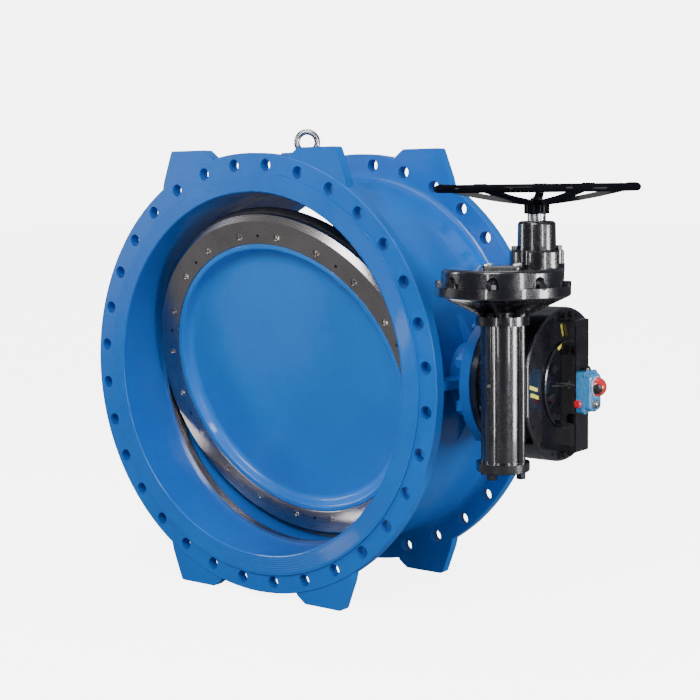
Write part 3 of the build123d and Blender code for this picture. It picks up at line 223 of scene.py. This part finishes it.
def turned_metal(name, dark, light, rough, pitch, about_pipe=True):
    """Fine-turned steel. Tool marks are rings about the pipe, or steps along it."""
    g = Graph(name)
    cloud = g.noise(6.0, 4.0)
    colour = g.ramp(cloud, [(0.3, dark), (0.7, light)])
    rings = g.add("ShaderNodeTexNoise", noise_dimensions="1D")
    rings.inputs["Scale"].default_value = 1.0 / pitch
    rings.inputs["Detail"].default_value = 3.0
    if about_pipe:
        g.join(g.radius_about_pipe(), rings.inputs["W"])
    else:
        along = g.add("ShaderNodeSeparateXYZ")
        g.join(g.coordinates, along.inputs[0])
        g.join(along.outputs[1], rings.inputs["W"])
    marks = rings.outputs["Fac"]
    roughness = g.spread(marks, rough - 0.07, rough + 0.1)
    return g.done(
        g.bump(marks, 0.22, 0.0003),
        Base_Color=colour,
        Roughness=roughness,
        Metallic=1.0,
    )


def cast_steel(name, dark, light, rough, metallic, grain=0.2):
    """Steel, iron or bronze with a fine uneven grain."""
    g = Graph(name)
    colour = g.ramp(g.noise(40.0, 5.0, 0.65), [(0.3, dark), (0.7, light)])
    roughness = g.spread(g.noise(60.0, 4.0), rough - 0.08, rough + 0.1)
    return g.done(
        g.bump(g.noise(400.0, 4.0, 0.6), grain, 0.0006),
        Base_Color=colour,
        Roughness=roughness,
        Metallic=metallic,
    )


def rubber(name):
    """Dull black rubber."""
    g = Graph(name)
    colour = g.ramp(g.noise(60.0, 4.0), [(0.3, (0.012, 0.013, 0.015)), (0.7, (0.03, 0.03, 0.033))])
    return g.done(
        g.bump(g.noise(700.0, 3.0), 0.3, 0.0004),
        Base_Color=colour,
        Roughness=g.spread(g.noise(90.0, 3.0), 0.42, 0.6),
        Specular_IOR_Level=0.4,
    )


def moulded(name, dark, light, rough, coat=0.0):
    """Moulded plastic or a daub of paint, with a hardly visible grain."""
    g = Graph(name)
    colour = g.ramp(g.noise(55.0, 3.0), [(0.3, dark), (0.7, light)])
    return g.done(
        g.bump(g.noise(900.0, 2.0), 0.12, 0.0003),
        Base_Color=colour,
        Roughness=g.spread(g.noise(70.0, 3.0), rough - 0.04, rough + 0.06),
        Coat_Weight=coat,
        Coat_Roughness=0.08,
    )


body_blue = epoxy("body_blue", (0.004, 0.12, 0.5), (0.007, 0.15, 0.58), 0.1, 0.14, 0.36, 0.4)
disc_blue = epoxy("disc_blue", (0.012, 0.18, 0.64), (0.017, 0.21, 0.72), 0.06, 0.04, 0.42, 0.35)
black = enamel("gearbox_black", (0.004, 0.004, 0.007), (0.009, 0.009, 0.014), 0.3, 0.2)
smooth_black = enamel("smooth_black", (0.003, 0.003, 0.005), (0.006, 0.006, 0.009), 0.1, 0.2,
                      specular=0.0, coat=0.08)
stainless = turned_metal("stainless", (0.3, 0.28, 0.28), (0.4, 0.37, 0.37), 0.26, 0.0016)
seat_steel = turned_metal("seat_steel", (0.62, 0.6, 0.6), (0.74, 0.71, 0.71), 0.2, 0.0016,
                          about_pipe=False)
screw_steel = cast_steel("screw_steel", (0.5, 0.46, 0.44), (0.68, 0.64, 0.62), 0.26, 1.0, 0.1)
zinc = cast_steel("zinc", (0.5, 0.5, 0.51), (0.72, 0.72, 0.73), 0.3, 1.0, 0.16)
bright_eye = cast_steel("forged_eye", (0.3, 0.3, 0.32), (0.5, 0.5, 0.52), 0.27, 1.0, 0.2)
machined = cast_steel("machined", (0.36, 0.36, 0.37), (0.52, 0.52, 0.54), 0.28, 1.0, 0.1)
greased_iron = cast_steel("greased_iron", (0.09, 0.085, 0.08), (0.17, 0.16, 0.15), 0.36, 0.9)
bronze = cast_steel("bronze", (0.42, 0.27, 0.11), (0.6, 0.42, 0.2), 0.32, 1.0, 0.1)
phosphate = cast_steel("phosphate_bolts", (0.03, 0.03, 0.036), (0.085, 0.085, 0.1), 0.27, 0.9, 0.12)
seal = rubber("seal_rubber")
switch_blue = moulded("switch_blue", (0.03, 0.2, 0.47), (0.05, 0.27, 0.57), 0.24, 0.5)
signal_red = moulded("signal_red", (0.5, 0.012, 0.02), (0.68, 0.03, 0.04), 0.16, 0.6)
plug_black = moulded("plug_black", (0.01, 0.01, 0.011), (0.02, 0.02, 0.022), 0.3)
paint_yellow = moulded("paint_yellow", (0.72, 0.6, 0.06), (0.85, 0.74, 0.16), 0.45)
clear_grey = moulded("clear_grey", (0.3, 0.42, 0.52), (0.42, 0.54, 0.64), 0.2, 0.4)
bare_scratch = cast_steel("bare_scratch", (0.2, 0.2, 0.2), (0.35, 0.35, 0.34), 0.35, 0.8)

LOOKS = {
    body_blue: ["valve_body", "end_cover", "gearbox_nuts"],
    disc_blue: ["disc"],
    stainless: ["seal_retaining_ring"],
    seat_steel: ["body_seat_ring"],
    screw_steel: ["retaining_screws", "disc_pins"],
    machined: ["drive_shaft", "idle_shaft", "worm_shaft", "ring_gear", "ring_gear_nut", "switch_stem",
               "wheel_key", "worm_bearings", "stop_guide_sleeve", "input_shaft"],
    seal: ["disc_seal", "shaft_o_rings", "end_cover_gasket", "input_seal"],
    bronze: ["drive_bush", "idle_bush", "thrust_washers", "gland_bush", "wheel_bushes", "input_bearings",
             "travelling_nut"],
    bright_eye: ["lifting_eyebolt"],
    zinc: ["end_cover_bolts", "gearbox_studs", "grease_plug", "inspection_screws", "metal_gland_plug",
           "switch_box_screws"],
    plug_black: ["blanking_plug"],
    black: ["gear_housing", "gear_cover", "spur_case", "spur_cover", "input_neck", "worm_end_cap",
            "inspection_plate", "indicator_cap", "switch_bracket"],
    smooth_black: ["handwheel", "handwheel_nut"],
    phosphate: ["gear_cover_bolts", "worm_end_bolts", "spur_case_bolts", "spur_cover_bolts",
                "input_neck_bolts", "indicator_cap_bolts", "bracket_bolts"],
    greased_iron: ["worm_wheel"],
    switch_blue: ["switch_box_base", "switch_box_lid"],
    signal_red: ["cable_entry_plug", "indicator_dome"],
}
for material, members in LOOKS.items():
    for member in members:
        nodes[member].data.materials.clear()
        nodes[member].data.materials.append(material)


# ------------------------------------------------------------- new mesh pieces
def piece(name, bm, material, body):
    """Makes an object of the bmesh, moving with a body and painted with the given material."""
    mesh = bpy.data.meshes.new(name)
    bmesh.ops.recalc_face_normals(bm, faces=bm.faces)
    bm.to_mesh(mesh)
    bm.free()
    mesh.materials.append(material)
    made = bpy.data.objects.new(name, mesh)
    bpy.context.scene.collection.objects.link(made)
    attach(made, body)
    return made


# Small mesh builders. Each returns a bmesh in the object's own frame, in metres.
def lathe(points, place, steps):
    """Turns a closed profile of (radius, along) points; place puts (across, up, along) in the frame."""
    bm = bmesh.new()
    rings = []
    for step in range(steps):
        turn = 2 * math.pi * step / steps
        rings.append([bm.verts.new(place(r * math.cos(turn), r * math.sin(turn), t)) for r, t in points])
    for step in range(steps):
        here, there = rings[step], rings[(step + 1) % steps]
        for k in range(len(points)):
            after = (k + 1) % len(points)
            bm.faces.new((here[k], here[after], there[after], there[k]))
    return bm


def along_pipe(across, up, t):
    return Vector((across, t, up))


def along_shaft(across, up, t):
    return Vector((t, SHAFT_Y + across, SHAFT_Z + up))


def daub(strokes, x, thick=0.0004):
    """Brushed marks on a plate: each stroke is (y, z, y, z, width), with soft uneven ends."""
    bm = bmesh.new()
    for number, (y0, z0, y1, z1, width) in enumerate(strokes):
        start, end = Vector((y0, z0)), Vector((y1, z1))
        along = (end - start).normalized()
        side = Vector((-along.y, along.x))
        outline = []
        for k in range(STROKE_POINTS):
            turn = 2 * math.pi * k / STROKE_POINTS
            wave = 1 + 0.07 * math.sin(3 * turn + number) + 0.04 * math.sin(7 * turn + 2 * number)
            end_here = end if math.cos(turn) > 0 else start
            squared = math.copysign(abs(math.cos(turn)) ** 0.4, math.cos(turn))
            broad = math.copysign(abs(math.sin(turn)) ** 0.4, math.sin(turn))
            outline.append(end_here + along * squared * width * 0.28 + side * broad * width * 0.5 * wave)
        low = [bm.verts.new((x, SHAFT_Y + q.x, SHAFT_Z + q.y)) for q in outline]
        high = [bm.verts.new((x + thick, SHAFT_Y + q.x, SHAFT_Z + q.y)) for q in outline]
        bm.faces.new(high)
        bm.faces.new(low[::-1])
        for k in range(STROKE_POINTS):
            j = (k + 1) % STROKE_POINTS
            bm.faces.new((low[k], low[j], high[j], high[k]))
    return bm


def cap_patch(centre, direction, half_angle, outer, inner, rings=8, sides=32):
    """A shell patch about a direction on a lens: domed towards +X of its centre, straight-sided behind it."""
    bm = bmesh.new()
    d = Vector(direction).normalized()
    e = d.cross(Vector((0, 0, 1))).normalized()
    f = d.cross(e)
    edges = []
    for radius in (outer, inner):
        grid = []
        for ring in range(1, rings + 1):
            tilt = half_angle * ring / rings
            row = []
            for k in range(sides):
                turn = 2 * math.pi * k / sides
                ray = d * math.cos(tilt) + (e * math.cos(turn) + f * math.sin(turn)) * math.sin(tilt)
                at = ray * radius
                if ray.x < 0:
                    flat = math.hypot(ray.y, ray.z)
                    at = Vector((at.x, ray.y / flat * radius, ray.z / flat * radius))
                row.append(bm.verts.new(Vector(centre) + at))
            grid.append(row)
        middle = bm.verts.new(Vector(centre) + d * radius)
        for k in range(sides):
            bm.faces.new((middle, grid[0][k], grid[0][(k + 1) % sides]))
        for near, far in zip(grid, grid[1:]):
            for k in range(sides):
                j = (k + 1) % sides
                bm.faces.new((near[k], far[k], far[j], near[j]))
        edges.append(grid[-1])
    for k in range(sides):
        j = (k + 1) % sides
        bm.faces.new((edges[0][k], edges[1][k], edges[1][j], edges[0][j]))
    return bm


def smooth(made):
    for polygon in made.data.polygons:
        polygon.use_smooth = True


# Gasket grooving on both raised faces
body_low, body_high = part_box("valve_body")
for label, face, out in (("inlet", body_low.y, -1), ("outlet", body_high.y, 1)):
    whole = bmesh.new()
    for number in range(RIDGES):
        crest = FIRST_RIDGE_R + RIDGE_PITCH * number
        root = face - out * RIDGE_ROOT
        ridge = [(crest - RIDGE_HALF_WIDTH, root), (crest, face + out * RIDGE_HEIGHT),
                 (crest + RIDGE_HALF_WIDTH, root)]
        turned = lathe(ridge, along_pipe, 180)
        copy = bpy.data.meshes.new("ridge")
        turned.to_mesh(copy)
        turned.free()
        whole.from_mesh(copy)
        bpy.data.meshes.remove(copy)
    piece(label + "_gasket_ridges", whole, body_blue, "valve_frame")

# Brush marks: a pair of slanting dashes twice on the gear cover, one dash on the cap
marks = {
    "cover_mark_high": [(-0.024, 0.184, -0.012, 0.152, 0.011), (-0.002, 0.182, 0.010, 0.150, 0.011)],
    "cover_mark_low": [(-0.208, 0.014, -0.168, 0.002, 0.011), (-0.202, -0.010, -0.162, -0.022, 0.011)],
}
for label, strokes in marks.items():
    piece(label, daub(strokes, COVER_FACE), paint_yellow, "valve_frame")
piece("cap_mark", daub([(-0.058, 0.116, -0.040, 0.124, 0.011)], CAP_FACE),
      paint_yellow, "disc_train")

# The scratched pointer line on the cap
pointer = [(-0.096, 0.006, -0.024, -0.001, 0.0022), (-0.045, 0.001, -0.010, -0.002, 0.005)]
piece("pointer_line", daub(pointer, CAP_FACE, 0.0003), bare_scratch, "disc_train")

# The position beacon: a black flag as a thin patch through the skin of the red lens, and a pale collar
dome_low, dome_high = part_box("indicator_dome")
dome_centre = (dome_high.x - BEACON_R, SHAFT_Y, SHAFT_Z)
flag = cap_patch(dome_centre, (0.52, -0.84, -0.14), math.radians(31), BEACON_R + 0.0006, BEACON_R - 0.0006)
smooth(piece("beacon_flag", flag, plug_black, "disc_train"))
collar = [(BEACON_R - 0.004, dome_low.x - 0.0035), (BEACON_R + 0.0028, dome_low.x - 0.0035),
          (BEACON_R + 0.0028, dome_low.x - 0.0005), (BEACON_R + 0.0012, dome_low.x + 0.0012),
          (BEACON_R + 0.0004, dome_low.x + 0.0012), (BEACON_R - 0.004, dome_low.x - 0.0005)]
piece("beacon_collar", lathe(collar, along_shaft, 64), clear_grey, "valve_frame")


# ------------------------------------------------------------------ the stage
def area_light(name, location, target, size, power):
    light = bpy.data.lights.new(name, "AREA")
    light.shape = "RECTANGLE"
    light.size, light.size_y = size
    light.energy = power
    lamp = bpy.data.objects.new(name, light)
    lamp.location = location
    lamp.rotation_euler = (Vector(target) - Vector(location)).to_track_quat("-Z", "Y").to_euler()
    bpy.context.scene.collection.objects.link(lamp)


def lit_or_seen(tree, lit, seen, out):
    """Lights everything with one shader and shows the camera another."""
    rays = tree.nodes.new("ShaderNodeLightPath")
    choose = tree.nodes.new("ShaderNodeMixShader")
    tree.links.new(rays.outputs["Is Camera Ray"], choose.inputs[0])
    tree.links.new(lit.outputs[0], choose.inputs[1])
    tree.links.new(seen.outputs[0], choose.inputs[2])
    tree.links.new(choose.outputs[0], out.inputs[0])


# A grey horizon that brightens to a white zenith, seen by the camera as plain white
world = bpy.data.worlds.new("studio")
world.use_nodes = True
sky_tree = world.node_tree
background = sky_tree.nodes["Background"]
background.inputs[1].default_value = AMBIENT
toward = sky_tree.nodes.new("ShaderNodeTexCoord")
height = sky_tree.nodes.new("ShaderNodeSeparateXYZ")
sky = sky_tree.nodes.new("ShaderNodeValToRGB")
sky_tree.links.new(toward.outputs["Generated"], height.inputs[0])
sky_tree.links.new(height.outputs[2], sky.inputs[0])
sky_tree.links.new(sky.outputs[0], background.inputs[0])
horizon, zenith = sky.color_ramp.elements
horizon.position = 0.52
horizon.color = (0.2, 0.21, 0.24, 1.0)
zenith.position = 1.0
zenith.color = (1.0, 1.0, 1.0, 1.0)
backdrop = sky_tree.nodes.new("ShaderNodeBackground")
backdrop.inputs[0].default_value = (1.0, 1.0, 1.0, 1.0)
backdrop.inputs[1].default_value = BACKDROP
lit_or_seen(sky_tree, background, backdrop, sky_tree.nodes["World Output"])
bpy.context.scene.world = world

# A floor that the camera sees pale, but that lights the valve no more than a grey one would
floor_mesh = bpy.data.meshes.new("floor")
floor_bm = bmesh.new()
bmesh.ops.create_grid(floor_bm, x_segments=2, y_segments=2, size=FLOOR_HALF_WIDTH)
floor_bm.to_mesh(floor_mesh)
floor_bm.free()
floor = bpy.data.objects.new("floor", floor_mesh)
floor.location = (0, 0, cad_box[0][2] - FLOOR_GAP)
bpy.context.scene.collection.objects.link(floor)
pale = bpy.data.materials.new("pale_floor")
pale.use_nodes = True
floor_tree = pale.node_tree
floor_tree.nodes.clear()
shown = floor_tree.nodes.new("ShaderNodeBsdfDiffuse")
shown.inputs[0].default_value = (0.9, 0.9, 0.9, 1.0)
glow = floor_tree.nodes.new("ShaderNodeEmission")
glow.inputs[0].default_value = (1.0, 1.0, 1.0, 1.0)
glow.inputs[1].default_value = BACKDROP - 0.6
both = floor_tree.nodes.new("ShaderNodeAddShader")
bounce = floor_tree.nodes.new("ShaderNodeBsdfDiffuse")
bounce.inputs[0].default_value = (0.2, 0.2, 0.2, 1.0)
floor_tree.links.new(shown.outputs[0], both.inputs[0])
floor_tree.links.new(glow.outputs[0], both.inputs[1])
lit_or_seen(floor_tree, bounce, both, floor_tree.nodes.new("ShaderNodeOutputMaterial"))
floor_mesh.materials.append(pale)

area_light("key", (1.5, -3.7, 3.3), CENTRE, (2.2, 1.6), 180)
area_light("overhead", (0.2, 0.4, 3.4), CENTRE, (2.4, 2.0), 34)
area_light("left_strip", (-3.3, -1.7, 1.2), CENTRE, (0.5, 2.2), 65)
area_light("right_strip", (4.3, -1.4, 0.9), (0.9, 0.2, 0.1), (0.4, 2.6), 85)
area_light("gearbox_strip", (1.2, -3.4, 0.6), (0.95, 0.1, 0.1), (0.16, 1.8), 22)
area_light("right_fill", (4.2, 0.8, -0.1), (0.7, 0.3, -0.1), (1.0, 1.2), 95)

# ----------------------------------------------------------------- the camera
level = math.cos(ELEVATION)
back = Vector((math.sin(AZIMUTH) * level, -math.cos(AZIMUTH) * level, math.sin(ELEVATION)))
right = Vector((math.cos(AZIMUTH), math.sin(AZIMUTH), 0))
up = back.cross(right)
across = math.cos(ROLL) * right + math.sin(ROLL) * up
upright = -math.sin(ROLL) * right + math.cos(ROLL) * up
camera_data = bpy.data.cameras.new("camera")
camera_data.sensor_width = SENSOR_MM
camera_data.lens = LENS_MM
camera = bpy.data.objects.new("camera", camera_data)
camera.matrix_world = Matrix(
    (
        (across.x, upright.x, back.x, STAND[0]),
        (across.y, upright.y, back.y, STAND[1]),
        (across.z, upright.z, back.z, STAND[2]),
        (0, 0, 0, 1),
    )
)
bpy.context.scene.collection.objects.link(camera)
bpy.context.scene.camera = camera
